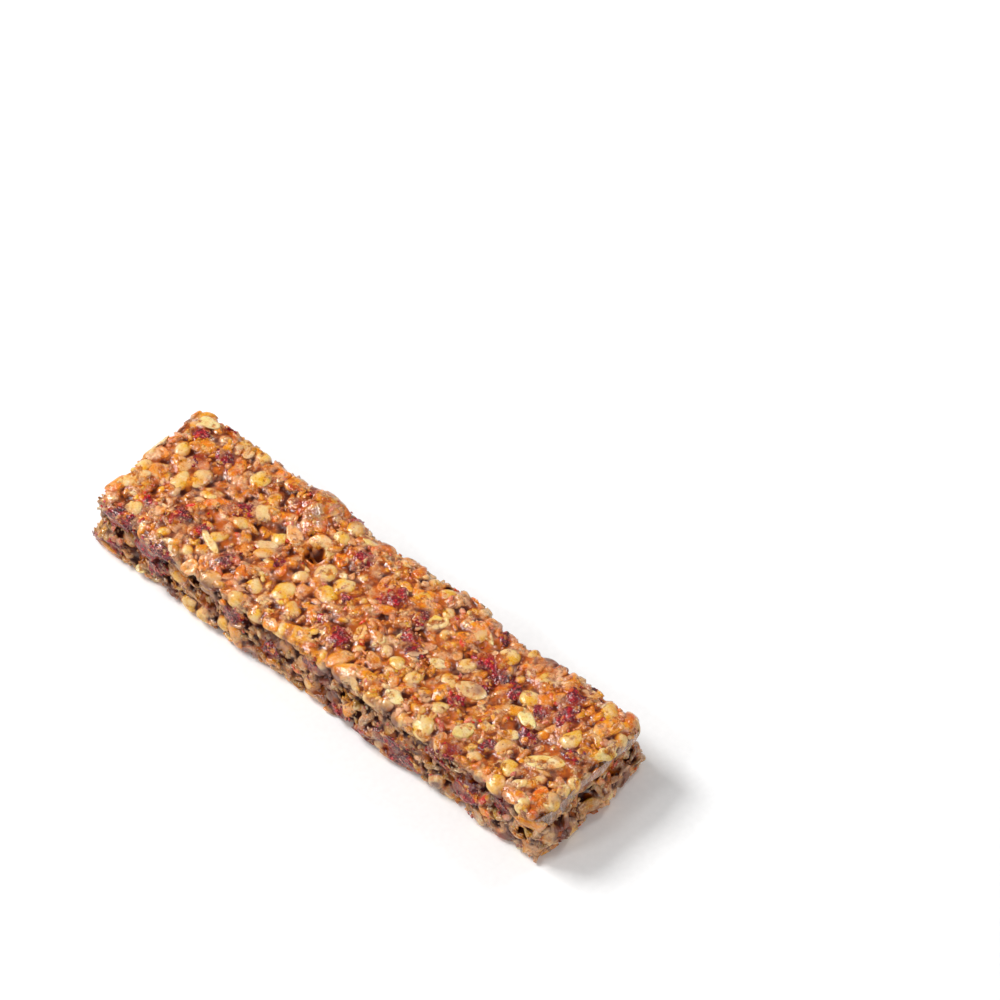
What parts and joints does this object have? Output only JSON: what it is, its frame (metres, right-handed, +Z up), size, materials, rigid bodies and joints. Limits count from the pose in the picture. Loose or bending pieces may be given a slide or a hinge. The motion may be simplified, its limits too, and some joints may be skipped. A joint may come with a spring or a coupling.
{
  "type": "granola bar",
  "caption": "Pressed rectangular granola bar: crisped cereal balls, rolled oats, dried fruit and berries held in set syrup, with a flat underside.",
  "frame": {"origin": "middle of the flat underside", "axes": "+X along the bar, +Y across it, +Z up from the face that it rests on"},
  "size_m": [0.12, 0.035, 0.0158],
  "materials": {
    "granola": "sticky sheen of set syrup over coarse grains",
    "crisp": "dull sugary cereal crisp, pale lemon to amber",
    "oat": "dull cream oat flake, darker where syrup soaks in",
    "fruit": "glossy translucent orange dried fruit",
    "berry": "glossy crimson to purple dried berry",
    "crumb": "fine oat crumb and bran, wetted by syrup"
  },
  "bodies": {
    "root": {"granola_bar": "granola"}
  },
  "joints": []
}
